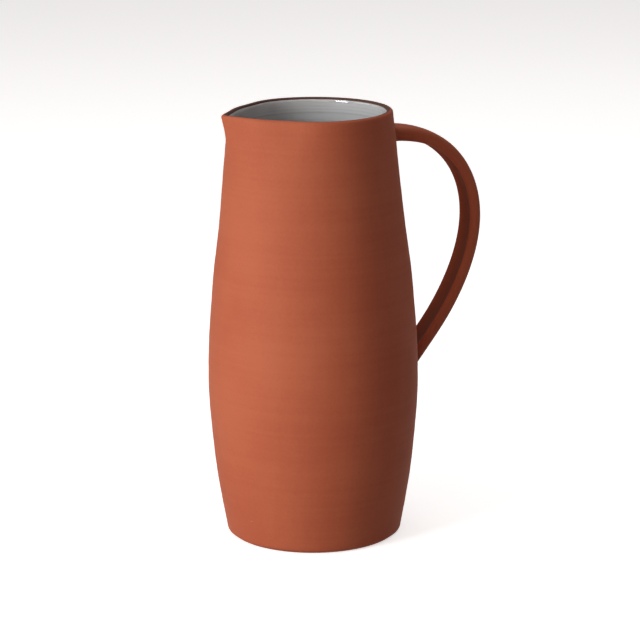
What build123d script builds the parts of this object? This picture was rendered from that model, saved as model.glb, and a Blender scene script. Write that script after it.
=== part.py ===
from build123d import *
import math
import os

# A thrown earthenware pitcher with a pulled strap handle, in millimetres.
# Origin: the middle of the foot, on the table. +Z is up, +X points to the handle,
# and the spout is at -X. The pitcher is alike on both sides of the XZ plane.

# Body, outside. Heights are above the table, and drops are below the rim.
HEIGHT = 255.0  # rim
FOOT_RADIUS = 51.8
LOWER_RADIUS = 58.4
LOWER_HEIGHT = 40.0  # the wall is still opening here
BELLY_RADIUS = 62.4
BELLY_HEIGHT = 95.0  # widest place
SHOULDER_RADIUS = 59.3
SHOULDER_DROP = 105.0  # the neck begins to draw in
NECK_RADIUS = 53.1
NECK_DROP = 55.0
RIM_RADIUS = 47.2

# Body, wall and floor
RIM_WALL = 3.7
FOOT_WALL = 5.6  # the thrown wall thickens towards the foot
LIP_ROUND = 1.4
FLOOR = 6.0  # clay between the inside and the recess underneath
INNER_CORNER = 14.0
FOOT_BEVEL = 2.0
RECESS_DEPTH = 2.5  # trimmed hollow under the foot
RECESS_RADIUS = 42.0
RECESS_BEVEL = 1.0

# Spout, drawn out of the rim by hand
SPOUT_REACH = 8.2  # the tip stands out this far from the round rim
SPOUT_HALF_ANGLE = 36.0  # degrees each side of the tip
SPOUT_SHARPNESS = 3.6  # power of the fall from the tip to the round rim
SPOUT_TIP_ROUND = 3.0  # degrees
SPOUT_TIP_WALL = 1.2  # extra clay behind the tip
SPOUT_INNER_ROUND = 6.0  # degrees
SPOUT_DEPTH = 26.0  # the drawn tip fades out this far down the neck
SPOUT_FADE = 1.3  # power of that fading
SPOUT_PINCH = 3.1  # the sides are pressed in while the tip is drawn
PINCH_ANGLE = 50.0
PINCH_SPREAD = 20.0
NECK_PUSH = 1.3  # wide, shallow swelling of the neck under the tip
PUSH_DROP = 30.0
PUSH_SPREAD = 32.0
PUSH_HALF_ANGLE = 75.0

# Handle, a pulled strap with a flute along its inner face
HANDLE_TOP_DROP = 16.7  # middle of the upper root
HANDLE_FOOT_HEIGHT = 101.3  # middle of the lower root
HANDLE_REACH = 101.0  # the strap's middle line, out from the pitcher's axis
UPPER_BEND = [(0.457, 0.034), (0.828, 0.152)]  # share of the way out, and of the way down
OUTERMOST_SHARE = 0.323  # of the way down
LOWER_BEND = [(0.653, 0.738), (0.498, 0.812)]
TAIL_SLOPE = 55.7  # degrees below level where the strap comes back to the wall
STRAP_TOP_WIDTH = 20.5
STRAP_WIDTH = 19.5
STRAP_TOP_THICKNESS = 8.5
STRAP_THICKNESS = 7.0
STRAP_TAPER = 0.36  # share of the strap's length over which it thins
STRAP_ROUND = 1.8
FLUTE_DEPTH = 0.9
CROWN = 0.6  # the outer face swells a little
UPPER_ROOT_DEPTH = 4.0  # the strap's line runs on into the wall before it is trimmed
LOWER_ROOT_DEPTH = 6.0
STRAP_SECTIONS = 18

# Luting clay worked round each root
LUTE_SPREAD = 1.6  # beyond the strap, on the wall
LUTE_EDGE = 0.4  # beyond the strap, at the thin end
LUTE_LENGTH = 2.6  # out from the wall
LUTE_DEPTH = 3.0  # into the wall before it is trimmed

# Glaze inside
GLAZE = 0.4

# Places where the wall's outline is drawn, and how closely
LEVEL_SPACING = 14.0
SPOUT_DROPS = [55.0, 44.0, 35.0, 27.0, 21.0, 15.0, 10.0, 5.0]
CORNER_STEPS = 5
LIP_STEPS = 3
RING_POINTS = 72
CLEAR = 5.0  # cutting solids run past what they cut


def wall_places():
    """Height and outer radius of the named places of the wall, from the foot up."""
    return [
        (0.0, FOOT_RADIUS),
        (LOWER_HEIGHT, LOWER_RADIUS),
        (BELLY_HEIGHT, BELLY_RADIUS),
        (HEIGHT - SHOULDER_DROP, SHOULDER_RADIUS),
        (HEIGHT - NECK_DROP, NECK_RADIUS),
        (HEIGHT, RIM_RADIUS),
    ]


def wall_slopes(places):
    """Slope of the wall at each named place, the mean of the stretches beside it."""
    steps = [(b[1] - a[1]) / (b[0] - a[0]) for a, b in zip(places, places[1:])]
    middle = [(a + b) / 2 for a, b in zip(steps, steps[1:])]
    return [steps[0]] + middle + [steps[-1]]


def wall_radius(z):
    """Outer radius of the round wall at height z, on a smooth curve through the places."""
    places = wall_places()
    slopes = wall_slopes(places)
    k = 0
    while k < len(places) - 2 and z > places[k + 1][0]:
        k += 1
    (low, low_radius), (high, high_radius) = places[k], places[k + 1]
    if z > high:
        return high_radius + slopes[-1] * (z - high)
    span = high - low
    t = (z - low) / span
    from_low = (1 + 2 * t) * (1 - t) ** 2 * low_radius + t * (1 - t) ** 2 * span * slopes[k]
    from_high = t * t * (3 - 2 * t) * high_radius - t * t * (1 - t) * span * slopes[k + 1]
    return from_low + from_high


def spout_offset(away, z, inner):
    """How far the wall's outer or inner face stands out of the round.

    The place is given by its angle away from the tip, in degrees, and its height.
    """
    drop = HEIGHT - z
    fade = max(0.0, 1 - drop / SPOUT_DEPTH) ** SPOUT_FADE
    reach = SPOUT_REACH - SPOUT_TIP_WALL if inner else SPOUT_REACH
    softness = SPOUT_INNER_ROUND if inner else SPOUT_TIP_ROUND
    turned = math.hypot(away, softness) - softness
    tip = reach * max(0.0, 1 - turned / SPOUT_HALF_ANGLE) ** SPOUT_SHARPNESS
    pinch = SPOUT_PINCH * math.exp(-(((away - PINCH_ANGLE) / PINCH_SPREAD) ** 2))
    push = NECK_PUSH * math.exp(-(((drop - PUSH_DROP) / PUSH_SPREAD) ** 2))
    push_angle = min(90.0, 90 * away / PUSH_HALF_ANGLE)
    return (tip - pinch) * fade + push * math.cos(math.radians(push_angle)) ** 2


def wall_thickness(z):
    """Thickness of the wall, thin at the rim and thicker towards the foot."""
    return RIM_WALL + (FOOT_WALL - RIM_WALL) * max(0.0, 1 - z / HEIGHT)


def wall_ring(z, depth, inner):
    """Level outline at height z, at a depth in from the round wall's outer face.

    Inner outlines follow the softer shape that the spout has on its inside.
    """
    points = []
    for k in range(RING_POINTS):
        turn = 360 * k / RING_POINTS - 90
        away = abs(turn - 180 if turn > 0 else turn + 180)
        radius = wall_radius(z) + spout_offset(away, z, inner) - depth
        bearing = math.radians(turn)
        points.append(Vector(radius * math.cos(bearing), radius * math.sin(bearing), z))
    marks = [k / RING_POINTS for k in range(RING_POINTS + 1)]
    return Wire([Edge.make_spline(points, periodic=True, parameters=marks)])


def wall_levels(bottom):
    """Heights above the bottom where the wall's outline is drawn, up to the lip."""
    neck = HEIGHT - SPOUT_DROPS[0]
    count = round((neck - bottom) / LEVEL_SPACING)
    levels = [bottom + (neck - bottom) * k / count for k in range(1, count)]
    return levels + [HEIGHT - drop for drop in SPOUT_DROPS] + [HEIGHT - LIP_ROUND]


def lip_solid(inner):
    """Solid inside the rounded outer or inner edge of the lip, as tall as its rounding."""
    rings = []
    for k in range(LIP_STEPS + 1):
        turn = math.radians(90 * k / LIP_STEPS)
        z = HEIGHT - LIP_ROUND * (1 - math.sin(turn))
        curl = LIP_ROUND * (1 - math.cos(turn))
        depth = wall_thickness(z) - curl if inner else curl
        rings.append(wall_ring(z, depth, inner))
    return Solid.make_loft(rings)


def outside_solid():
    """Solid inside the body's outer face, from the table to the top of the lip."""
    wall = Solid.make_loft([wall_ring(z, 0.0, False) for z in [0.0] + wall_levels(0.0)])
    return wall + lip_solid(False)


def inside_solid(lining):
    """The space inside the wall, less a lining, from its rounded corner to the lip."""
    floor = RECESS_DEPTH + FLOOR + lining
    corner = INNER_CORNER - lining
    rings = []
    for k in range(CORNER_STEPS):
        turn = math.radians(90 * k / CORNER_STEPS)
        z = floor + corner * (1 - math.cos(turn))
        depth = wall_thickness(z) + lining + corner * (1 - math.sin(turn))
        rings.append(wall_ring(z, depth, True))
    for z in [floor + corner] + wall_levels(floor + corner):
        rings.append(wall_ring(z, wall_thickness(z) + lining, True))
    return Solid.make_loft(rings)


def foot_bevel():
    """What is cut away round the foot: all outside a cone that opens upwards."""
    low = Plane((0, 0, -CLEAR))
    tall = FOOT_BEVEL + 2 * CLEAR
    narrow = FOOT_RADIUS - FOOT_BEVEL - CLEAR
    cone = Solid.make_cone(narrow, narrow + tall, tall, low)
    return Solid.make_cylinder(narrow + tall + CLEAR, tall, low) - cone


def foot_recess():
    """The shallow hollow under the foot, with its bevelled edge."""
    hollow = Solid.make_cylinder(RECESS_RADIUS, RECESS_DEPTH)
    bevel = Solid.make_cone(RECESS_RADIUS + RECESS_BEVEL, RECESS_RADIUS, RECESS_BEVEL)
    return hollow + bevel


def make_body(outside):
    """Thrown wall and floor, with the spout, the rounded lip and the trimmed foot."""
    inside = inside_solid(0.0) + lip_solid(True)
    return outside - foot_bevel() - foot_recess() - inside


def make_interior_glaze():
    """Layer of glaze over the whole inside, up to where the lip's rounding begins."""
    return inside_solid(0.0) - inside_solid(GLAZE)


def handle_line():
    """Middle line of the strap, from inside the wall at the top to inside it at the foot."""
    top = HEIGHT - HANDLE_TOP_DROP
    fall = top - HANDLE_FOOT_HEIGHT
    upper_wall = wall_radius(top)
    lower_wall = wall_radius(HANDLE_FOOT_HEIGHT)
    tail = math.radians(TAIL_SLOPE)
    points = [(upper_wall - UPPER_ROOT_DEPTH, top)]
    points += [(upper_wall + (HANDLE_REACH - upper_wall) * out, top - fall * down)
               for out, down in UPPER_BEND]
    points += [(HANDLE_REACH, top - fall * OUTERMOST_SHARE)]
    points += [(lower_wall + (HANDLE_REACH - lower_wall) * out, top - fall * down)
               for out, down in LOWER_BEND]
    points += [(lower_wall - LOWER_ROOT_DEPTH,
                HANDLE_FOOT_HEIGHT - LOWER_ROOT_DEPTH * math.tan(tail))]
    ends = [(1, 0, 0), (-math.cos(tail), 0, -math.sin(tail))]
    return Edge.make_spline([Vector(x, 0, z) for x, z in points], tangents=ends)


def strap_section(plane, width, thickness):
    """Cross-section of the strap: +Y of the plane is the outer face, -Y the fluted one."""
    side = width / 2
    face = thickness / 2
    flat = side - STRAP_ROUND
    edge = face - STRAP_ROUND
    bend = STRAP_ROUND * math.sqrt(0.5)
    corners = [
        (flat + bend, -edge - bend),
        (flat + bend, edge + bend),
        (-flat - bend, edge + bend),
        (-flat - bend, -edge - bend),
    ]
    outline = [
        ThreePointArc((-flat, -face), (0, FLUTE_DEPTH - face), (flat, -face)),
        ThreePointArc((flat, -face), corners[0], (side, -edge)),
        Line((side, -edge), (side, edge)),
        ThreePointArc((side, edge), corners[1], (flat, face)),
        ThreePointArc((flat, face), (0, face + CROWN), (-flat, face)),
        ThreePointArc((-flat, face), corners[2], (-side, edge)),
        Line((-side, edge), (-side, -edge)),
        ThreePointArc((-side, -edge), corners[3], (-flat, -face)),
    ]
    return Wire([plane.from_local_coords(edge) for edge in outline])


def strap_size(share):
    """Width and thickness of the strap at a share of its length, from the upper root."""
    taper = max(0.0, 1 - share / STRAP_TAPER)
    ease = taper * taper * (3 - 2 * taper)
    width = STRAP_WIDTH + (STRAP_TOP_WIDTH - STRAP_WIDTH) * ease
    thickness = STRAP_THICKNESS + (STRAP_TOP_THICKNESS - STRAP_THICKNESS) * ease
    return width, thickness


def make_handle(outside):
    """Pulled strap, trimmed at both roots to the outside of the body."""
    line = handle_line()
    sections = []
    for k in range(STRAP_SECTIONS):
        share = k / (STRAP_SECTIONS - 1)
        plane = Plane(line.position_at(share), x_dir=(0, 1, 0), z_dir=line.tangent_at(share))
        sections.append(strap_section(plane, *strap_size(share)))
    strap = Solid.make_loft(sections)
    return (strap - outside).solids().sort_by(SortBy.VOLUME)[-1]


def upright_section(x, z, width, height, corner):
    """Rounded rectangle in the upright plane at x, centred at height z."""
    plane = Plane((x, 0, z), x_dir=(0, 1, 0), z_dir=(1, 0, 0))
    return (plane * RectangleRounded(width, height, corner)).wire()


def make_lute(share, wall, height, slope, strap, outside):
    """Ring of luting clay round a root, thick on the wall and thin along the strap."""
    width, thickness = strap_size(share)
    upright = (thickness + CROWN) / math.cos(math.radians(slope))
    sections = []
    for x in (wall - LUTE_DEPTH, wall + LUTE_LENGTH):
        spread = LUTE_EDGE + (LUTE_SPREAD - LUTE_EDGE) * (wall + LUTE_LENGTH - x) / LUTE_LENGTH
        z = height + (x - wall) * math.tan(math.radians(slope))
        size = (width + 2 * spread, upright + 2 * spread)
        sections.append(upright_section(x, z, *size, STRAP_ROUND + spread))
    return Solid.make_loft(sections, ruled=True) - outside - strap


def make_upper_lute(strap, outside):
    """Luting clay where the strap springs level from the neck."""
    height = HEIGHT - HANDLE_TOP_DROP
    return make_lute(0.0, wall_radius(height), height, 0.0, strap, outside)


def make_lower_lute(strap, outside):
    """Luting clay where the strap's tail is pressed on to the belly."""
    height = HANDLE_FOOT_HEIGHT
    return make_lute(1.0, wall_radius(height), height, TAIL_SLOPE, strap, outside)


outside = outside_solid()
handle = make_handle(outside)
nodes = {
    "body": make_body(outside),
    "interior_glaze": make_interior_glaze(),
    "handle": handle,
    "upper_handle_luting": make_upper_lute(handle, outside),
    "lower_handle_luting": make_lower_lute(handle, outside),
}

os.makedirs("parts", exist_ok=True)
for name, shape in nodes.items():
    export_step(shape, f"parts/{name}.step")
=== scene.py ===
import math
from types import SimpleNamespace

import bmesh
import bpy
from bpy.props import FloatProperty, FloatVectorProperty, IntProperty, PointerProperty
from mathutils import Matrix, Vector


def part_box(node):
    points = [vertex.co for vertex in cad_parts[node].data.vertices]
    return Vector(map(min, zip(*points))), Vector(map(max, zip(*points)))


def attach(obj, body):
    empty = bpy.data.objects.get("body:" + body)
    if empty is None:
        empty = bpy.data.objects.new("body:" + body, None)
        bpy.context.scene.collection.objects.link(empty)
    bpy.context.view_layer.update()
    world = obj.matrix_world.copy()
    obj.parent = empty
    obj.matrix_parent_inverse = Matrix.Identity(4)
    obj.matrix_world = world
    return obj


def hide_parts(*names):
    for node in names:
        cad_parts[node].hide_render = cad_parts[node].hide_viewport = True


bl_info = {
    "name": "Terracotta Pitcher",
    "version": (1, 0, 0),
    "blender": (4, 5, 0),
    "location": "3D View > Sidebar > Pitcher",
    "description": "A thrown terracotta pitcher with a pulled strap handle and a glazed inside",
    "category": "Object",
}

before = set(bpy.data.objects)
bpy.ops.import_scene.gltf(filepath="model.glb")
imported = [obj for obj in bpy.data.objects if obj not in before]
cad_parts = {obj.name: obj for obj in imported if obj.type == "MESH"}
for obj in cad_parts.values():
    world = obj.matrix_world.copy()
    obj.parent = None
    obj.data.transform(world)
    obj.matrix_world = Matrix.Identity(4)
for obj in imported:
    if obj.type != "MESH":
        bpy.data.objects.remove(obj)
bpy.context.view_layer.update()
RIM_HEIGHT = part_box("body")[1].z
GLAZE_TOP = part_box("interior_glaze")[1].z

MM = 0.001
TURN = 2 * math.pi
QUARTER = math.pi / 2


# ---------------------------------------------------------------- sizes and colours

class PitcherWall(bpy.types.PropertyGroup):
    """The thrown wall. Radii are outside ones, in metres."""

    foot_radius: FloatProperty(
        name="Foot radius", description="Outer radius at the table",
        default=51.8 * MM, unit="LENGTH")
    lower_radius: FloatProperty(
        name="Lower radius", description="Outer radius low on the belly",
        default=58.4 * MM, unit="LENGTH")
    lower_height: FloatProperty(
        name="Lower height", description="Height of the lower radius",
        default=40.0 * MM, unit="LENGTH")
    belly_radius: FloatProperty(
        name="Belly radius", description="Outer radius at the widest place",
        default=62.4 * MM, unit="LENGTH")
    belly_height: FloatProperty(
        name="Belly height", description="Height of the widest place",
        default=95.0 * MM, unit="LENGTH")
    shoulder_radius: FloatProperty(
        name="Shoulder radius", description="Outer radius where the neck begins to draw in",
        default=59.3 * MM, unit="LENGTH")
    shoulder_drop: FloatProperty(
        name="Shoulder drop", description="Depth of the shoulder below the rim",
        default=105.0 * MM, unit="LENGTH")
    neck_radius: FloatProperty(
        name="Neck radius", description="Outer radius of the neck",
        default=53.1 * MM, unit="LENGTH")
    neck_drop: FloatProperty(
        name="Neck drop", description="Depth of the neck radius below the rim",
        default=55.0 * MM, unit="LENGTH")
    rim_radius: FloatProperty(
        name="Rim radius", description="Outer radius of the round rim",
        default=47.2 * MM, unit="LENGTH")
    rim_wall: FloatProperty(
        name="Rim wall", description="Thickness of the wall at the rim",
        default=3.7 * MM, unit="LENGTH")
    foot_wall: FloatProperty(
        name="Foot wall", description="Thickness of the wall at the foot",
        default=5.6 * MM, unit="LENGTH")
    lip_round: FloatProperty(
        name="Lip rounding", description="Radius of the rounded edges of the lip",
        default=1.5 * MM, unit="LENGTH")
    floor: FloatProperty(
        name="Floor", description="Height of the inside's floor above the table",
        default=8.5 * MM, unit="LENGTH")
    corner: FloatProperty(
        name="Inner corner", description="Rounding between the floor and the inside wall",
        default=14.0 * MM, unit="LENGTH")
    foot_bevel: FloatProperty(
        name="Foot bevel", description="Bevel round the bottom edge",
        default=2.0 * MM, unit="LENGTH")
    recess_radius: FloatProperty(
        name="Recess radius", description="Radius of the trimmed hollow under the foot",
        default=42.0 * MM, unit="LENGTH")
    recess_depth: FloatProperty(
        name="Recess depth", description="Depth of the trimmed hollow under the foot",
        default=2.5 * MM, unit="LENGTH")
    throwing_rings: FloatProperty(
        name="Throwing rings", description="Height of the ridges left by the thrower's fingers",
        default=0.05 * MM, unit="LENGTH")
    ring_steps: IntProperty(
        name="Steps round", description="Faces round the wall", default=256, min=48)


class PitcherSpout(bpy.types.PropertyGroup):
    """The spout, drawn out of the rim by hand."""

    reach: FloatProperty(
        name="Reach", description="How far the tip stands out from the round rim",
        default=8.2 * MM, unit="LENGTH")
    half_angle: FloatProperty(
        name="Half angle", description="Angle each side of the tip that is drawn out",
        default=math.radians(36.0), subtype="ANGLE")
    sharpness: FloatProperty(
        name="Sharpness", description="Power of the fall from the tip to the round rim",
        default=3.6)
    tip_round: FloatProperty(
        name="Tip rounding", description="Rounding of the tip, as an angle",
        default=math.radians(3.0), subtype="ANGLE")
    inner_round: FloatProperty(
        name="Inner rounding", description="Rounding of the channel inside, as an angle",
        default=math.radians(6.0), subtype="ANGLE")
    tip_wall: FloatProperty(
        name="Tip wall", description="Extra clay behind the tip",
        default=1.2 * MM, unit="LENGTH")
    depth: FloatProperty(
        name="Depth", description="How far down the neck the drawn tip fades out",
        default=26.0 * MM, unit="LENGTH")
    fade: FloatProperty(
        name="Fade", description="Power of that fading", default=1.3)
    pinch: FloatProperty(
        name="Pinch", description="How far the sides are pressed in",
        default=3.1 * MM, unit="LENGTH")
    pinch_angle: FloatProperty(
        name="Pinch angle", description="Where the sides are pressed in",
        default=math.radians(50.0), subtype="ANGLE")
    pinch_spread: FloatProperty(
        name="Pinch spread", description="Width of the pressed places",
        default=math.radians(20.0), subtype="ANGLE")
    push: FloatProperty(
        name="Neck push", description="Wide swelling of the neck under the tip",
        default=1.3 * MM, unit="LENGTH")
    push_drop: FloatProperty(
        name="Push drop", description="Depth of the swelling below the rim",
        default=30.0 * MM, unit="LENGTH")
    push_spread: FloatProperty(
        name="Push spread", description="Height of the swelling",
        default=32.0 * MM, unit="LENGTH")
    push_half_angle: FloatProperty(
        name="Push half angle", description="Width of the swelling each side of the tip",
        default=math.radians(75.0), subtype="ANGLE")


class PitcherHandle(bpy.types.PropertyGroup):
    """The pulled strap and the luting clay at its roots."""

    top_drop: FloatProperty(
        name="Top drop", description="Middle of the upper root, below the rim",
        default=16.7 * MM, unit="LENGTH")
    foot_height: FloatProperty(
        name="Foot height", description="Middle of the lower root, above the table",
        default=101.3 * MM, unit="LENGTH")
    reach: FloatProperty(
        name="Reach", description="Middle line of the strap, out from the pitcher's axis",
        default=101.0 * MM, unit="LENGTH")
    tail_slope: FloatProperty(
        name="Tail slope", description="Slope of the strap where it comes back to the wall",
        default=math.radians(55.7), subtype="ANGLE")
    width: FloatProperty(
        name="Width", description="Width of the strap", default=19.5 * MM, unit="LENGTH")
    top_width: FloatProperty(
        name="Top width", description="Width at the upper root",
        default=20.5 * MM, unit="LENGTH")
    thickness: FloatProperty(
        name="Thickness", description="Thickness of the strap",
        default=7.0 * MM, unit="LENGTH")
    top_thickness: FloatProperty(
        name="Top thickness", description="Thickness at the upper root",
        default=8.5 * MM, unit="LENGTH")
    edge_round: FloatProperty(
        name="Edge rounding", description="Rounding of the strap's long edges",
        default=2.8 * MM, unit="LENGTH")
    flute: FloatProperty(
        name="Flute", description="Depth of the flute along the inner face",
        default=3.0 * MM, unit="LENGTH")
    bead: FloatProperty(
        name="Bead", description="Width of the rounded bead each side of the flute",
        default=2.4 * MM, unit="LENGTH")
    crown: FloatProperty(
        name="Crown", description="Swelling of the outer face",
        default=0.6 * MM, unit="LENGTH")
    luting: FloatProperty(
        name="Luting", description="Size of the clay smoothed round each root",
        default=1.6 * MM, unit="LENGTH")


class PitcherFinish(bpy.types.PropertyGroup):
    """Colours of the fired clay and of the glaze."""

    clay: FloatVectorProperty(
        name="Clay", description="Fired clay", subtype="COLOR", size=3,
        default=(0.46, 0.102, 0.040), min=0, max=1)
    clay_light: FloatVectorProperty(
        name="Pale clay", description="Where fine clay dust was rubbed on",
        subtype="COLOR", size=3, default=(0.51, 0.132, 0.056), min=0, max=1)
    clay_dark: FloatVectorProperty(
        name="Dark clay", description="Where the fire coloured the clay more",
        subtype="COLOR", size=3, default=(0.41, 0.080, 0.031), min=0, max=1)
    # Also the colour of the painted shade in the middle of the handle's flute.
    speck_and_groove_shade: FloatVectorProperty(
        name="Speck", description="Iron specks in the clay",
        subtype="COLOR", size=3, default=(0.16, 0.05, 0.025), min=0, max=1)
    lip: FloatVectorProperty(
        name="Lip", description="Bare clay stained by the glaze",
        subtype="COLOR", size=3, default=(0.10, 0.042, 0.028), min=0, max=1)
    glaze: FloatVectorProperty(
        name="Glaze", description="Glaze where it lies thick",
        subtype="COLOR", size=3, default=(0.78, 0.80, 0.81), min=0, max=1)
    glaze_thin: FloatVectorProperty(
        name="Thin glaze", description="Glaze where it broke over the throwing rings",
        subtype="COLOR", size=3, default=(0.48, 0.45, 0.43), min=0, max=1)


class PitcherSettings(bpy.types.PropertyGroup):
    """Everything that a user may change."""

    wall: PointerProperty(type=PitcherWall)
    spout: PointerProperty(type=PitcherSpout)
    handle: PointerProperty(type=PitcherHandle)
    finish: PointerProperty(type=PitcherFinish)


def values(group):
    """The group's settings as plain numbers, which are quicker to read many times."""
    names = [name for name in group.bl_rna.properties.keys() if name not in ("rna_type", "name")]
    return SimpleNamespace(**{name: getattr(group, name) for name in names})


# ---------------------------------------------------------------- shader building

class Socket:
    """A shader value. Arithmetic on it adds Math nodes."""

    def __init__(self, nodes, value):
        self.nodes = nodes
        self.value = value

    def _math(self, operation, *values):
        return self.nodes.add("ShaderNodeMath", {"operation": operation}, dict(enumerate(values)))

    def __add__(self, other):
        return self._math("ADD", self, other)

    def __sub__(self, other):
        return self._math("SUBTRACT", self, other)

    def __rsub__(self, other):
        return self._math("SUBTRACT", other, self)

    def __mul__(self, other):
        return self._math("MULTIPLY", self, other)

    __radd__ = __add__
    __rmul__ = __mul__

    def between(self, low, high):
        """0 below low, 1 above high, and smooth between them."""
        settings = {"interpolation_type": "SMOOTHSTEP"}
        values = {"Value": self, "From Min": low, "From Max": high, "To Min": 0.0, "To Max": 1.0}
        return self.nodes.add("ShaderNodeMapRange", settings, values, "Result")


class Shader:
    """Builds one material's nodes."""

    def __init__(self, name):
        self.material = bpy.data.materials.new(name)
        self.material.use_nodes = True
        self.tree = self.material.node_tree
        self.tree.nodes.clear()

    def add(self, kind, settings=None, values=None, output=0):
        """Adds a node, gives it its settings and then its sockets' values or links."""
        node = self.tree.nodes.new(kind)
        for key, value in (settings or {}).items():
            setattr(node, key, value)
        for key, value in (values or {}).items():
            socket = node.inputs[key]
            if isinstance(value, Socket):
                self.tree.links.new(value.value, socket)
            elif socket.type == "RGBA":
                socket.default_value = (*value, 1.0)
            else:
                socket.default_value = value
        return Socket(self, node.outputs[output]) if node.outputs else None

    def place(self, stretch=(1.0, 1.0, 1.0)):
        """Place on the piece, in its own metres, stretched along each axis."""
        spot = self.add("ShaderNodeTexCoord", output="Object")
        return self.add("ShaderNodeMapping", {"vector_type": "POINT"},
                        {"Vector": spot, "Scale": stretch})

    def height(self):
        """Height above the table, in metres."""
        spot = self.add("ShaderNodeTexCoord", output="Object")
        return self.add("ShaderNodeSeparateXYZ", values={"Vector": spot}, output="Z")

    def noise(self, place, scale, detail=3.0, rough=0.55):
        return self.add("ShaderNodeTexNoise", None,
                        {"Vector": place, "Scale": scale, "Detail": detail, "Roughness": rough})

    def specks(self, place, scale, low, high):
        """1 on small round specks on a few of the cells, and 0 elsewhere."""
        spots = {"Vector": place, "Scale": scale}
        distance = self.add("ShaderNodeTexVoronoi", {"feature": "F1"}, spots, "Distance")
        tint = self.add("ShaderNodeTexVoronoi", {"feature": "F1"}, spots, "Color")
        chance = self.add("ShaderNodeSeparateColor", values={"Color": tint}, output="Red")
        return (1 - distance.between(low, high)) * chance.between(0.90, 0.97)

    def mix(self, factor, first, second):
        """Colour between first and second."""
        factor_input, first_input, second_input, colour_output = 0, 6, 7, 2
        return self.add("ShaderNodeMix", {"data_type": "RGBA"},
                        {factor_input: factor, first_input: first, second_input: second},
                        colour_output)

    def bump(self, height, distance, strength, normal=None):
        values = {"Height": height, "Distance": distance, "Strength": strength}
        if normal:
            values["Normal"] = normal
        return self.add("ShaderNodeBump", None, values)

    def attribute(self, name):
        return self.add("ShaderNodeAttribute", {"attribute_name": name}, None, "Fac")

    def surface(self, values):
        """Finishes the material with one shader."""
        shader = self.add("ShaderNodeBsdfPrincipled", None, values)
        self.add("ShaderNodeOutputMaterial", None, {"Surface": shader})
        return self.material


def clay_material(name, finish, lip, wheel, painted_groove_shade=False):
    """Unglazed fired clay. Marks of the wheel are for thrown pieces."""
    s = Shader(name)
    here = s.place()
    level = s.height()
    streaks = s.noise(s.place((7.0, 7.0, 420.0)), 1.0, 4.0, 0.6)
    bands = s.noise(s.place((3.0, 3.0, 70.0)), 1.0, 2.0, 0.5)
    clouds = s.noise(here, 16.0, 3.0, 0.5)
    dust = s.noise(here, 620.0, 4.0, 0.65)
    grain = s.noise(here, 1900.0, 3.0, 0.6)
    specks = s.specks(here, 520.0, 0.10, 0.24)
    marks = clouds * 0.5 + dust * 0.25 + (bands * 0.1 + streaks * 0.15 if wheel else 0.125)
    colour = s.mix(marks.between(0.36, 0.62), finish.clay_dark, finish.clay_light)
    colour = s.mix(0.45, colour, finish.clay)
    colour = s.mix(specks * 0.28, colour, finish.speck_and_groove_shade)
    scuff_place = s.noise(s.place((60.0, 60.0, 260.0)), 1.0, 5.0, 0.7)
    scuffs = scuff_place.between(0.66, 0.78) * (1 - level.between(0.012, 0.045)) * 0.4
    colour = s.mix(scuffs, colour, (0.80, 0.55, 0.42))
    if lip:
        stain = s.attribute("lip") * (0.75 + dust * 0.5)
        colour = s.mix(stain.between(0.25, 0.8), colour, finish.lip)
    # Painted shade: the handle's flute is darkened towards its middle.
    if painted_groove_shade:
        colour = s.mix(s.attribute("painted_groove_shade") * 0.75, colour, finish.speck_and_groove_shade)
    relief = grain * 0.5 + dust * 0.5 - specks * 0.6
    normal = s.bump(relief, 0.10 * MM, 0.55)
    if wheel:
        normal = s.bump(streaks * 0.7 + bands * 0.3, 0.22 * MM, 0.45, normal)
    rough = 0.70 + dust * 0.16
    return s.surface({"Base Color": colour, "Roughness": rough, "Normal": normal,
                      "IOR": 1.5, "Specular IOR Level": 0.5})


def glaze_material(finish):
    """Glossy pale glaze that broke over the throwing rings."""
    s = Shader("interior_glaze")
    here = s.place()
    rings = s.noise(s.place((5.0, 5.0, 560.0)), 1.0, 4.0, 0.65)
    broad = s.noise(s.place((6.0, 6.0, 60.0)), 1.0, 2.0, 0.5)
    clouds = s.noise(here, 40.0, 3.0, 0.55)
    fine = s.noise(here, 900.0, 2.0, 0.5)
    pits = s.specks(here, 500.0, 0.10, 0.22)
    thin = rings * 0.55 + broad * 0.3 + clouds * 0.15
    colour = s.mix(thin.between(0.44, 0.60) * 0.55, finish.glaze, finish.glaze_thin)
    colour = s.mix(pits * 0.5, colour, finish.glaze_thin)
    edge = s.attribute("edge")
    colour = s.mix(edge * 0.6, colour, finish.glaze_thin)
    normal = s.bump(rings * 0.6 + broad * 0.4, 0.25 * MM, 0.35, s.bump(fine, 0.02 * MM, 0.3))
    rough = 0.03 + thin * 0.05
    return s.surface({"Base Color": colour, "Roughness": rough, "Normal": normal,
                      "IOR": 1.6, "Specular IOR Level": 0.5, "Coat Weight": 0.9,
                      "Coat Roughness": 0.02})


# ---------------------------------------------------------------- the thrown shape

def wall_places(wall):
    """Height and outer radius of the named places of the wall, from the foot up."""
    return [
        (0.0, wall.foot_radius),
        (wall.lower_height, wall.lower_radius),
        (wall.belly_height, wall.belly_radius),
        (RIM_HEIGHT - wall.shoulder_drop, wall.shoulder_radius),
        (RIM_HEIGHT - wall.neck_drop, wall.neck_radius),
        (RIM_HEIGHT, wall.rim_radius),
    ]


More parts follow.
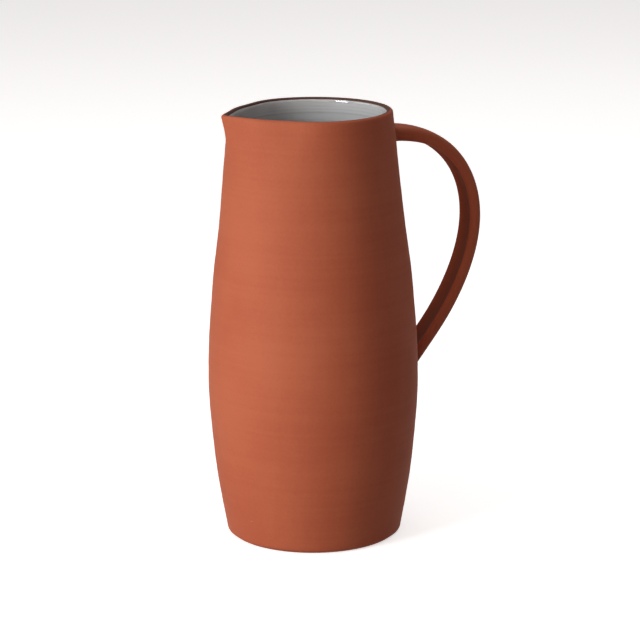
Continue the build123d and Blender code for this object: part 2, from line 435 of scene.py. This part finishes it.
def wall_radius(wall, z):
    """Outer radius of the round wall at height z, on a smooth curve through the places."""
    places = wall_places(wall)
    steps = [(b[1] - a[1]) / (b[0] - a[0]) for a, b in zip(places, places[1:])]
    slopes = [steps[0]] + [(a + b) / 2 for a, b in zip(steps, steps[1:])] + [steps[-1]]
    k = 0
    while k < len(places) - 2 and z > places[k + 1][0]:
        k += 1
    (low, low_radius), (high, high_radius) = places[k], places[k + 1]
    span = high - low
    t = min(1.0, max(0.0, (z - low) / span))
    from_low = (1 + 2 * t) * (1 - t) ** 2 * low_radius + t * (1 - t) ** 2 * span * slopes[k]
    from_high = t * t * (3 - 2 * t) * high_radius - t * t * (1 - t) * span * slopes[k + 1]
    return from_low + from_high


def wall_thickness(wall, z):
    return wall.rim_wall + (wall.foot_wall - wall.rim_wall) * (1 - z / RIM_HEIGHT)


def spout_offset(spout, away, z, inner):
    """How far the wall stands out of the round, at an angle away from the tip."""
    drop = RIM_HEIGHT - z
    fade = max(0.0, 1 - drop / spout.depth) ** spout.fade
    reach = spout.reach - spout.tip_wall * inner
    softness = spout.tip_round + (spout.inner_round - spout.tip_round) * inner
    turned = math.hypot(away, softness) - softness
    tip = reach * max(0.0, 1 - turned / spout.half_angle) ** spout.sharpness
    pinch = spout.pinch * math.exp(-(((away - spout.pinch_angle) / spout.pinch_spread) ** 2))
    push = spout.push * math.exp(-(((drop - spout.push_drop) / spout.push_spread) ** 2))
    turn = min(1.0, away / spout.push_half_angle) * math.pi / 2
    return (tip - pinch) * fade + push * math.cos(turn) ** 2


def throwing_ring(wall, z):
    """Faint ridges that climb the wall, uneven as fingers leave them."""
    wave = math.sin(z / (2.3 * MM)) * 0.5 + math.sin(z / (1.37 * MM) + 1.0) * 0.3
    slow = math.sin(z / (6.1 * MM) + 0.4) * 0.9 + math.sin(z / (11.0 * MM)) * 0.8
    return wall.throwing_rings * (wave + slow)


WALL_ROWS = 150
INSIDE_ROWS = 110
CORNER_ROWS = 12
LIP_ROWS = 7
# Steps out and up in millimetres, from the corner of the recess and from its lower edge
RECESS_CORNER = ((-0.8, 0.0), (-0.2, -0.25), (0.0, -0.8))
RECESS_EDGE = ((0.15, 0.7), (0.5, 0.25), (1.2, 0.0))
SOFT = 0.25 * MM  # softening where the foot's bevel meets the wall
FLOOR_SHARES = (0.85, 0.7, 0.55, 0.4, 0.25, 0.12, 0.0)
FLOOR_SWELL = 0.21 * MM  # the floor is a little higher in the middle
WELD = 0.002 * MM


def outer_profile(wall):
    """Radius and height of the outside, from under the foot to the start of the lip."""
    recess, depth, bevel = wall.recess_radius, wall.recess_depth, wall.foot_bevel
    points = [(0.0, depth), (recess * 0.5, depth)]
    points += [(recess + out * MM, depth + up * MM) for out, up in RECESS_CORNER]
    points += [(recess + out * MM, up * MM) for out, up in RECESS_EDGE]
    points += [
        (wall.foot_radius - bevel - 0.6 * MM, 0.0),
        (wall.foot_radius - bevel, 0.12 * MM),
        (wall.foot_radius - bevel * 0.5, bevel * 0.5),
        (wall_radius(wall, bevel) - SOFT, bevel - 0.3 * MM),
    ]
    low = bevel + SOFT
    rise = RIM_HEIGHT - wall.lip_round - low
    for k in range(WALL_ROWS + 1):
        z = low + rise * k / WALL_ROWS
        taper = min(1.0, k / 8, (WALL_ROWS - k) / 6)
        points.append((wall_radius(wall, z) + throwing_ring(wall, z) * taper, z))
    return points


def lip_profile(wall, inner):
    """Rounded edge of the lip, from its outer or inner start to its top."""
    points = []
    for k in range(1, LIP_ROWS + 1):
        turn = QUARTER * k / LIP_ROWS
        z = RIM_HEIGHT - wall.lip_round * (1 - math.sin(turn))
        curl = wall.lip_round * (1 - math.cos(turn))
        radius = wall_radius(wall, z)
        points.append((radius - wall_thickness(wall, z) + curl if inner else radius - curl, z))
    return points


def inner_profile(wall, lining, top):
    """Radius and height of the inside, from its top edge to the middle of the floor."""
    floor = wall.floor + lining
    corner = wall.corner - lining
    points = []
    for k in range(INSIDE_ROWS + 1):
        z = top + (floor + corner - top) * k / INSIDE_ROWS
        taper = min(1.0, k / 10, (INSIDE_ROWS - k) / 10)
        ripple = throwing_ring(wall, z * 0.83) * 1.6 * taper
        points.append((wall_radius(wall, z) - wall_thickness(wall, z) - lining + ripple, z))
    for k in range(1, CORNER_ROWS + 1):
        turn = QUARTER * (1 - k / CORNER_ROWS)
        z = floor + corner * (1 - math.cos(turn))
        radius = wall_radius(wall, z) - wall_thickness(wall, z) - lining
        points.append((radius - corner * (1 - math.sin(turn)), z))
    edge = points[-1][0]
    for share in FLOOR_SHARES:
        ease = 0.5 + 0.5 * math.cos(math.pi * share)
        points.append((edge * share, floor + FLOOR_SWELL * ease * (1 - share)))
    return points


def chain_of(mesh, places):
    """Vertices at the places, each joined to the one before it."""
    chain = bmesh.ops.create_vert(mesh, co=places[0])["vert"]
    for place in places[1:]:
        chain += bmesh.ops.extrude_vert_indiv(mesh, verts=[chain[-1]])["verts"]
        chain[-1].co = place
    return chain


def throw(points, steps):
    """Turns a profile of (radius, height) round the pitcher's axis into a closed skin."""
    mesh = bmesh.new()
    chain = chain_of(mesh, [(-radius, 0.0, z) for radius, z in points])
    bmesh.ops.spin(mesh, geom=chain + mesh.edges[:], cent=(0, 0, 0), axis=(0, 0, 1),
                   angle=TURN, steps=steps, use_merge=True, dvec=(0, 0, 0))
    bmesh.ops.remove_doubles(mesh, verts=mesh.verts[:], dist=WELD)
    bmesh.ops.recalc_face_normals(mesh, faces=mesh.faces[:])
    return mesh


def draw_spout(mesh, spout, side):
    """Moves each vertex out or in for the spout. The side tells inner from outer."""
    for vert in mesh.verts:
        radius = math.hypot(vert.co.x, vert.co.y)
        if radius < MM:
            continue
        away = math.pi - abs(math.atan2(vert.co.y, vert.co.x))
        shift = spout_offset(spout, away, vert.co.z, side(radius, vert.co.z))
        vert.co.x *= 1 + shift / radius
        vert.co.y *= 1 + shift / radius


def finish_piece(name, mesh, material, replaced):
    """Makes an object of the mesh, on the pitcher's one body."""
    data = bpy.data.meshes.new(name)
    mesh.to_mesh(data)
    mesh.free()
    piece = bpy.data.objects.new(name, data)
    bpy.context.scene.collection.objects.link(piece)
    data.materials.append(material)
    for face in data.polygons:
        face.use_smooth = True
    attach(piece, "root")
    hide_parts(replaced)
    return piece


STAIN_DEPTH = 8 * MM  # below the top of the lip
STAIN_START = 0.30  # share of the wall's thickness
STAIN_FADE = 0.25


def clamp(value):
    return min(1.0, max(0.0, value))


def lip_shade(wall, radius, z):
    """1 on the stained inner edge of the lip, and 0 on the outside."""
    if z < RIM_HEIGHT - STAIN_DEPTH:
        return 0.0
    across = (wall_radius(wall, z) - radius) / wall.rim_wall
    return clamp((across - STAIN_START) / STAIN_FADE)


class PITCHER_OT_body(bpy.types.Operator):
    """Throw the body: wall, rounded lip, drawn spout and trimmed foot"""

    bl_idname = "pitcher.body"
    bl_label = "Body"

    def execute(self, context):
        settings = context.scene.pitcher
        wall, spout = values(settings.wall), values(settings.spout)
        inner_top = RIM_HEIGHT - wall.lip_round
        points = outer_profile(wall) + lip_profile(wall, 0)
        points += lip_profile(wall, 1)[::-1] + inner_profile(wall, 0.0, inner_top)
        mesh = throw(points, wall.ring_steps)
        shade = mesh.verts.layers.float.new("lip")
        for vert in mesh.verts:
            radius = math.hypot(vert.co.x, vert.co.y)
            vert[shade] = lip_shade(wall, radius, vert.co.z)

        def side(radius, z):
            return clamp((wall_radius(wall, z) - radius) / wall_thickness(wall, z))

        draw_spout(mesh, spout, side)
        clay = clay_material("terracotta", settings.finish, lip=True, wheel=True)
        finish_piece("pitcher_body", mesh, clay, "body")
        return {"FINISHED"}


GLAZE_THICK = 0.5 * MM
GLAZE_BITE = 0.15 * MM  # the glaze reaches this far into the clay
GLAZE_BEAD = 2.4 * MM  # height of the rounded bead along its edge
GLAZE_CLIMB = 0.5 * MM  # the bead climbs on to the lip's rounding
BEAD_ROWS = 8


class PITCHER_OT_interior_glaze(bpy.types.Operator):
    """Line the inside with glaze, thinning to a rounded edge under the lip"""

    bl_idname = "pitcher.interior_glaze"
    bl_label = "Interior glaze"

    def execute(self, context):
        settings = context.scene.pitcher
        wall, spout = values(settings.wall), values(settings.spout)
        top = GLAZE_TOP + GLAZE_CLIMB
        bead_start = top - GLAZE_BEAD
        skin = inner_profile(wall, GLAZE_THICK, bead_start)
        edge = []
        for k in range(1, BEAD_ROWS + 1):
            turn = QUARTER * k / BEAD_ROWS
            z = bead_start + GLAZE_BEAD * math.sin(turn)
            inset = GLAZE_THICK - (GLAZE_THICK + GLAZE_CLIMB) * (1 - math.cos(turn))
            edge.append((wall_radius(wall, z) - wall_thickness(wall, z) - inset, z))
        back = inner_profile(wall, -GLAZE_BITE, bead_start)
        points = back[::-1] + edge[::-1] + skin
        mesh = throw(points, wall.ring_steps)
        shade = mesh.verts.layers.float.new("edge")
        for vert in mesh.verts:
            vert[shade] = clamp(1 + (vert.co.z - top) / GLAZE_CLIMB)
        draw_spout(mesh, spout, lambda radius, z: 1.0)
        finish_piece("glaze_lining", mesh, glaze_material(settings.finish),
                     "interior_glaze")
        return {"FINISHED"}


# ---------------------------------------------------------------- the pulled handle

UPPER_BEND = ((0.457, 0.034), (0.828, 0.152))  # share of the way out, and of the way down
OUTERMOST_SHARE = 0.323  # of the way down
LOWER_BEND = ((0.653, 0.738), (0.498, 0.812))
UPPER_ROOT_DEPTH = 4.0 * MM
LOWER_ROOT_DEPTH = 6.0 * MM
STRAP_TAPER = 0.36  # share of the strap's length over which it thins
STRAP_STATIONS = 110
# Axis of the outline's sides, their cuts, and the least length as a share of the half size
OUTLINE_CUTS = ((0, 15, 1.0), (1, 3, 0.5))
ROOT_BITE = 1.6 * MM  # how far the strap's ends reach into the wall
ROOT_CLEAR = 0.4 * MM  # sections nearer the wall than this are left out
REACH_LIMIT = 30 * MM  # no root is further than this from the wall
HALVINGS = 30
LUTE_ROWS = 7
LUTE_RISE = 1.3  # height along the strap for each width on the wall
LUTE_HOLLOW = 0.18  # how far the hollow stands off the corner, as a share of the size
LUTE_SINK = 0.05 * MM  # into the wall at the outer edge
LUTE_LIFT = 0.03 * MM  # off the strap at the upper edge
LUTE_BURY = 0.5 * MM  # back into the strap
LUTE_UNDER = (0.7 * MM, 0.4 * MM)  # into the wall, and in under the strap


def solve_bends(gaps, values, start, end):
    """Slopes of a smooth curve through values, with set slopes at both ends."""
    count = len(values)
    upper = [0.0] * count
    right = [start] * count
    for k in range(1, count - 1):
        before, after = gaps[k - 1], gaps[k]
        rate = 3 * (before * (values[k + 1] - values[k]) / after
                    + after * (values[k] - values[k - 1]) / before)
        pivot = 2 * (before + after) - after * upper[k - 1]
        upper[k] = before / pivot
        right[k] = (rate - after * right[k - 1]) / pivot
    slopes = [end] * count
    slopes[0] = start
    for k in range(count - 2, 0, -1):
        slopes[k] = right[k] - upper[k] * slopes[k + 1]
    return slopes


class StrapLine:
    """Middle line of the strap, from inside the wall at the top to inside it at the foot."""

    def __init__(self, wall, handle):
        top = RIM_HEIGHT - handle.top_drop
        fall = top - handle.foot_height
        upper = wall_radius(wall, top)
        lower = wall_radius(wall, handle.foot_height)
        points = [(upper - UPPER_ROOT_DEPTH, top)]
        points += [(upper + (handle.reach - upper) * out, top - fall * down)
                   for out, down in UPPER_BEND]
        points += [(handle.reach, top - fall * OUTERMOST_SHARE)]
        points += [(lower + (handle.reach - lower) * out, top - fall * down)
                   for out, down in LOWER_BEND]
        tail = handle.tail_slope
        points += [(lower - LOWER_ROOT_DEPTH,
                    handle.foot_height - LOWER_ROOT_DEPTH * math.tan(tail))]
        self.points = points
        self.gaps = [math.dist(a, b) for a, b in zip(points, points[1:])]
        self.slopes = [
            solve_bends(self.gaps, [p[0] for p in points], 1.0, -math.cos(tail)),
            solve_bends(self.gaps, [p[1] for p in points], 0.0, -math.sin(tail)),
        ]
        self.length = sum(self.gaps)

    def at(self, share):
        """Place and direction at a share of the line."""
        along = share * self.length
        k = 0
        while k < len(self.gaps) - 1 and along > self.gaps[k]:
            along -= self.gaps[k]
            k += 1
        gap = self.gaps[k]
        t = along / gap
        place, way = [], []
        for axis in (0, 1):
            a, b = self.points[k][axis], self.points[k + 1][axis]
            m, n = self.slopes[axis][k] * gap, self.slopes[axis][k + 1] * gap
            place.append((2 * t**3 - 3 * t**2 + 1) * a + (t**3 - 2 * t**2 + t) * m
                         + (3 * t**2 - 2 * t**3) * b + (t**3 - t**2) * n)
            way.append((6 * t**2 - 6 * t) * a + (3 * t**2 - 4 * t + 1) * m
                       + (6 * t - 6 * t**2) * b + (3 * t**2 - 2 * t) * n)
        direction = Vector((way[0], 0.0, way[1])).normalized()
        return Vector((place[0], 0.0, place[1])), direction


def strap_size(handle, share):
    taper = max(0.0, 1 - share / STRAP_TAPER)
    ease = taper * taper * (3 - 2 * taper)
    width = handle.width + (handle.top_width - handle.width) * ease
    thickness = handle.thickness + (handle.top_thickness - handle.thickness) * ease
    return width, thickness


def strap_outline(mesh, handle):
    """The strap's plain cross-section: an oblong face with rounded corners."""
    half = (handle.width / 2, handle.thickness / 2)
    corners = []
    for x, y in ((-1, -1), (1, -1), (1, 1), (-1, 1)):
        corners += bmesh.ops.create_vert(mesh, co=(x * half[0], y * half[1], 0.0))["vert"]
    bmesh.ops.contextual_create(mesh, geom=corners)
    bmesh.ops.bevel(mesh, geom=mesh.verts[:], offset=handle.edge_round, offset_type="OFFSET",
                    affect="VERTICES", segments=6, profile=0.5, material=-1, clamp_overlap=False)
    bmesh.ops.delete(mesh, geom=mesh.faces[:], context="FACES_ONLY")
    for axis, cuts, least in OUTLINE_CUTS:
        long_edges = [e for e in mesh.edges
                      if abs(e.verts[0].co[axis] - e.verts[1].co[axis]) > half[axis] * least]
        bmesh.ops.subdivide_edges(mesh, edges=long_edges, cuts=cuts)
    return bmesh.ops.contextual_create(mesh, geom=mesh.edges[:])["faces"][0]


def groove_share(handle, local):
    """1 in the middle of the flute, falling to 0 at the beads and outside it."""
    if local.y >= -handle.thickness * 0.4:
        return 0.0
    side = min(1.0, abs(local.x) / (handle.width / 2 - handle.bead))
    return (1 - side * side) ** 0.9


def strap_point(handle, local, share):
    """Moves a point of the plain outline on to the strap's own section at a share."""
    width, thickness = strap_size(handle, share)
    x = local.x * width / handle.width
    y = local.y + math.copysign((thickness - handle.thickness) / 2, local.y)
    half = handle.width / 2
    if local.y > 0:
        side = min(1.0, abs(local.x) / half)
        y += handle.crown * (1 - side * side) - handle.crown / 2
    elif local.y < -handle.thickness * 0.4:
        y += handle.flute * groove_share(handle, local)
    return x, y


def to_wall(wall, point, direction, bite):
    """The point moved along direction until it is a bite inside the outer face."""
    low, high = 0.0, REACH_LIMIT
    for _ in range(HALVINGS):
        middle = (low + high) / 2
        spot = point + direction * middle
        if math.hypot(spot.x, spot.y) > wall_radius(wall, spot.z) - bite:
            low = middle
        else:
            high = middle
    return point + direction * low


def strap_ring(handle, line, loop, share):
    """Places of the strap's outline at a share of its length."""
    place, direction = line.at(share)
    across = Vector((0.0, 1.0, 0.0))
    outward = direction.cross(across)
    ring = []
    for local in loop:
        x, y = strap_point(handle, local, share)
        ring.append(place + across * x + outward * y)
    return ring, direction


def loop_edges(mesh, verts):
    """Edges of a closed loop of vertices."""
    return [mesh.edges.get(pair) for pair in zip(verts, verts[1:] + verts[:1])]


def sweep(mesh, verts, rings):
    """Extrudes a closed loop of vertices through rings of places, and returns the last."""
    for ring in rings:
        grown = bmesh.ops.extrude_edge_only(mesh, edges=loop_edges(mesh, verts))["geom"]
        made = {item for item in grown if isinstance(item, bmesh.types.BMVert)}
        follow = {edge.other_vert(vert): vert for vert in made for edge in vert.link_edges
                  if edge.other_vert(vert) not in made}
        verts = [follow[vert] for vert in verts]
        for vert, place in zip(verts, ring):
            vert.co = place
    return verts


class PITCHER_OT_handle(bpy.types.Operator):
    """Pull the strap handle and smooth luting clay round both its roots"""

    bl_idname = "pitcher.handle"
    bl_label = "Handle and luting"

    def execute(self, context):
        settings = context.scene.pitcher
        wall, handle = values(settings.wall), values(settings.handle)
        line = StrapLine(wall, handle)
        mesh = bmesh.new()
        # Painted shade for the handle's flute, 1 in its middle and 0 at the beads and outside it.
        shade = mesh.verts.layers.float.new("painted_groove_shade")
        face = strap_outline(mesh, handle)
        start = [loop.vert for loop in face.loops]
        outline = [vert.co.copy() for vert in start]
        for vert in start:
            vert[shade] = groove_share(handle, vert.co)

        rings = []
        for k in range(STRAP_STATIONS + 1):
            ring, direction = strap_ring(handle, line, outline, k / STRAP_STATIONS)
            clear = min(math.hypot(p.x, p.y) - wall_radius(wall, p.z) for p in ring)
            if clear > ROOT_CLEAR:
                rings.append((ring, direction))
        first, last = rings[0], rings[-1]
        for vert, place in zip(start, first[0]):
            vert.co = to_wall(wall, place, -first[1], ROOT_BITE)
        lower_foot = [to_wall(wall, p, last[1], ROOT_BITE) for p in last[0]]
        end = sweep(mesh, start, [ring for ring, _ in rings] + [lower_foot])
        bmesh.ops.contextual_create(mesh, geom=loop_edges(mesh, end))
        bmesh.ops.recalc_face_normals(mesh, faces=mesh.faces[:])
        clay = clay_material("pulled_terracotta", settings.finish, lip=False, wheel=False,
                             painted_groove_shade=True)
        finish_piece("strap_handle", mesh, clay, "handle")

        lute = clay_material("luting_clay", settings.finish, lip=False, wheel=False)
        self.smooth_root("upper_luting", wall, handle, first[0], -first[1], lute,
                         "upper_handle_luting")
        self.smooth_root("lower_luting", wall, handle, last[0], last[1], lute,
                         "lower_handle_luting")
        return {"FINISHED"}

    @staticmethod
    def smooth_root(name, wall, handle, ring, direction, clay, replaced):
        """A hollow-curved fillet of clay between the strap and the wall."""
        size = handle.luting
        middle = sum(ring, Vector()) / len(ring)
        centre = to_wall(wall, middle, direction, 0.0)
        rows = []
        for point in ring:
            root = to_wall(wall, point, direction, 0.0)
            normal = Vector((root.x, root.y, 0.0)).normalized()
            spread = root - centre
            spread -= normal * spread.dot(normal)
            spread.normalize()
            skin = point - middle
            skin -= direction * skin.dot(direction)
            skin.normalize()
            foot = root + spread * size
            foot -= normal * (math.hypot(foot.x, foot.y) - wall_radius(wall, foot.z))
            foot -= normal * LUTE_SINK
            top = root - direction * size * LUTE_RISE + skin * LUTE_LIFT
            pull = root + (spread + normal) * LUTE_HOLLOW * size
            curve = []
            for k in range(LUTE_ROWS):
                t = k / (LUTE_ROWS - 1)
                curve.append(top * (1 - t) ** 2 + pull * 2 * t * (1 - t) + foot * t * t)
            under = root - normal * LUTE_UNDER[0] - spread * LUTE_UNDER[1]
            rows.append([top - skin * LUTE_BURY] + curve + [under])
        mesh = bmesh.new()
        start = chain_of(mesh, rows[0])
        bmesh.ops.contextual_create(mesh, geom=[start[0], start[-1]])
        sweep(mesh, start, rows[1:] + rows[:1])
        bmesh.ops.remove_doubles(mesh, verts=mesh.verts[:], dist=WELD)
        bmesh.ops.recalc_face_normals(mesh, faces=mesh.faces[:])
        finish_piece(name, mesh, clay, replaced)


# ---------------------------------------------------------------- the stage

CAMERA_PLACE = Vector((-0.5366, -1.3979, 0.5011))
CAMERA_DROP = math.radians(14.01)  # looks down by this much
CAMERA_TRIM = (math.radians(-0.156), math.radians(0.039), math.radians(-0.332))
HANDLE_TURN = math.radians(21.0)  # the handle stands this far round from the camera's right
LENS = 146.22
SENSOR = 36.0
FLOOR_RADIUS = 6.0
AMBIENT = (1.0, 0.72, 0.64, 1.0)
AMBIENT_STRENGTH = 0.08
LIT_PLACE = Vector((0.0, 0.0, 0.13))  # every light points at this place
# Name, degrees left of the camera and up, distance, width and height, watts, colour
LIGHTS = (
    ("key", 50.0, 17.0, 1.25, (0.43, 0.60), 9.1, (0.98, 1.0, 1.0)),
    ("left", 88.0, 3.0, 1.5, (0.8, 0.9), 3.6, (0.98, 1.0, 1.0)),
    ("card", 46.0, -13.0, 0.5, (0.5, 0.25), 0.52, (1.0, 0.92, 0.86)),
    ("front", 14.0, 1.0, 1.5, (0.7, 0.7), 3.8, (1.0, 0.74, 0.62)),
    ("side", -110.0, 5.0, 1.8, (0.4, 1.0), 1.6, (1.0, 0.84, 0.74)),
    ("back", 180.0, 50.0, 1.8, (1.6, 1.0), 4.0, (1.0, 1.0, 1.0)),
    ("overhead", 0.0, 89.0, 2.6, (3.0, 3.0), 26.0, (1.0, 1.0, 1.0)),
)


class PITCHER_OT_stage(bpy.types.Operator):
    """Lay a wide pale floor, hang soft lights and set the camera"""

    bl_idname = "pitcher.stage"
    bl_label = "Stage"

    def execute(self, context):
        scene = context.scene
        self.lay_floor(scene)
        self.set_camera(scene)
        self.hang_lights(scene)
        scene.view_settings.view_transform = "Standard"
        world = bpy.data.worlds.new("studio")
        scene.world = world
        world.use_nodes = True
        ground = world.node_tree.nodes["Background"]
        ground.inputs["Color"].default_value = AMBIENT
        ground.inputs["Strength"].default_value = AMBIENT_STRENGTH
        return {"FINISHED"}

    @staticmethod
    def lay_floor(scene):
        mesh = bmesh.new()
        bmesh.ops.create_circle(mesh, cap_ends=True, segments=96, radius=FLOOR_RADIUS)
        data = bpy.data.meshes.new("floor")
        mesh.to_mesh(data)
        mesh.free()
        floor = bpy.data.objects.new("floor", data)
        scene.collection.objects.link(floor)
        s = Shader("pale_floor")
        mottle = s.noise(s.place(), 3.0, 3.0, 0.5)
        colour = s.mix(mottle, (0.93, 0.93, 0.92), (0.96, 0.96, 0.955))
        data.materials.append(s.surface({
            "Base Color": colour, "Roughness": 0.9, "Specular IOR Level": 0.2,
            "Emission Color": (1.0, 1.0, 1.0), "Emission Strength": 0.65}))
        floor.visible_diffuse = False  # no glow from the floor on to the shaded side

    @staticmethod
    def set_camera(scene):
        lens = bpy.data.cameras.new("camera")
        lens.lens = LENS
        lens.sensor_width = SENSOR
        lens.clip_end = 50.0
        camera = bpy.data.objects.new("camera", lens)
        scene.collection.objects.link(camera)
        yaw, pitch, roll = CAMERA_TRIM
        aim = Matrix.Rotation(-HANDLE_TURN, 4, "Z")
        aim = aim @ Matrix.Rotation(math.pi / 2 - CAMERA_DROP, 4, "X")
        aim = aim @ Matrix.Rotation(yaw, 4, "Y") @ Matrix.Rotation(pitch, 4, "X")
        aim = aim @ Matrix.Rotation(roll, 4, "Z")
        camera.matrix_world = Matrix.Translation(CAMERA_PLACE) @ aim
        scene.camera = camera

    @staticmethod
    def hang_lights(scene):
        for name, left, up, away, size, power, colour in LIGHTS:
            lamp = bpy.data.lights.new(name, "AREA")
            lamp.shape = "RECTANGLE"
            lamp.size, lamp.size_y = size
            lamp.energy = power
            lamp.color = colour
            light = bpy.data.objects.new(name, lamp)
            scene.collection.objects.link(light)
            turn = -HANDLE_TURN - math.radians(left)
            rise = math.radians(up)
            back = Vector((math.sin(turn) * math.cos(rise), -math.cos(turn) * math.cos(rise),
                           math.sin(rise)))
            light.location = LIT_PLACE + back * away
            light.rotation_euler = (-back).to_track_quat("-Z", "Y").to_euler()


# ---------------------------------------------------------------- panel and run

MAKERS = (PITCHER_OT_body, PITCHER_OT_interior_glaze, PITCHER_OT_handle, PITCHER_OT_stage)
GROUPS = (PitcherWall, PitcherSpout, PitcherHandle, PitcherFinish, PitcherSettings)


class PITCHER_PT_pieces(bpy.types.Panel):
    """Pieces of the pitcher"""

    bl_label = "Pitcher"
    bl_idname = "PITCHER_PT_pieces"
    bl_space_type = "VIEW_3D"
    bl_region_type = "UI"
    bl_category = "Pitcher"

    def draw(self, context):
        for maker in MAKERS:
            self.layout.operator(maker.bl_idname)
        for part in ("wall", "spout", "handle", "finish"):
            box = self.layout.box()
            box.label(text=part.capitalize())
            settings = getattr(context.scene.pitcher, part)
            for name in settings.bl_rna.properties.keys():
                if name not in ("rna_type", "name"):
                    box.prop(settings, name)


CLASSES = GROUPS + MAKERS + (PITCHER_PT_pieces,)


def register():
    for item in CLASSES:
        bpy.utils.register_class(item)
    bpy.types.Scene.pitcher = PointerProperty(type=PitcherSettings)


def unregister():
    del bpy.types.Scene.pitcher
    for item in reversed(CLASSES):
        bpy.utils.unregister_class(item)


def main():
    register()
    bpy.ops.pitcher.body()
    bpy.ops.pitcher.interior_glaze()
    bpy.ops.pitcher.handle()
    bpy.ops.pitcher.stage()


if __name__ == "__main__":
    main()
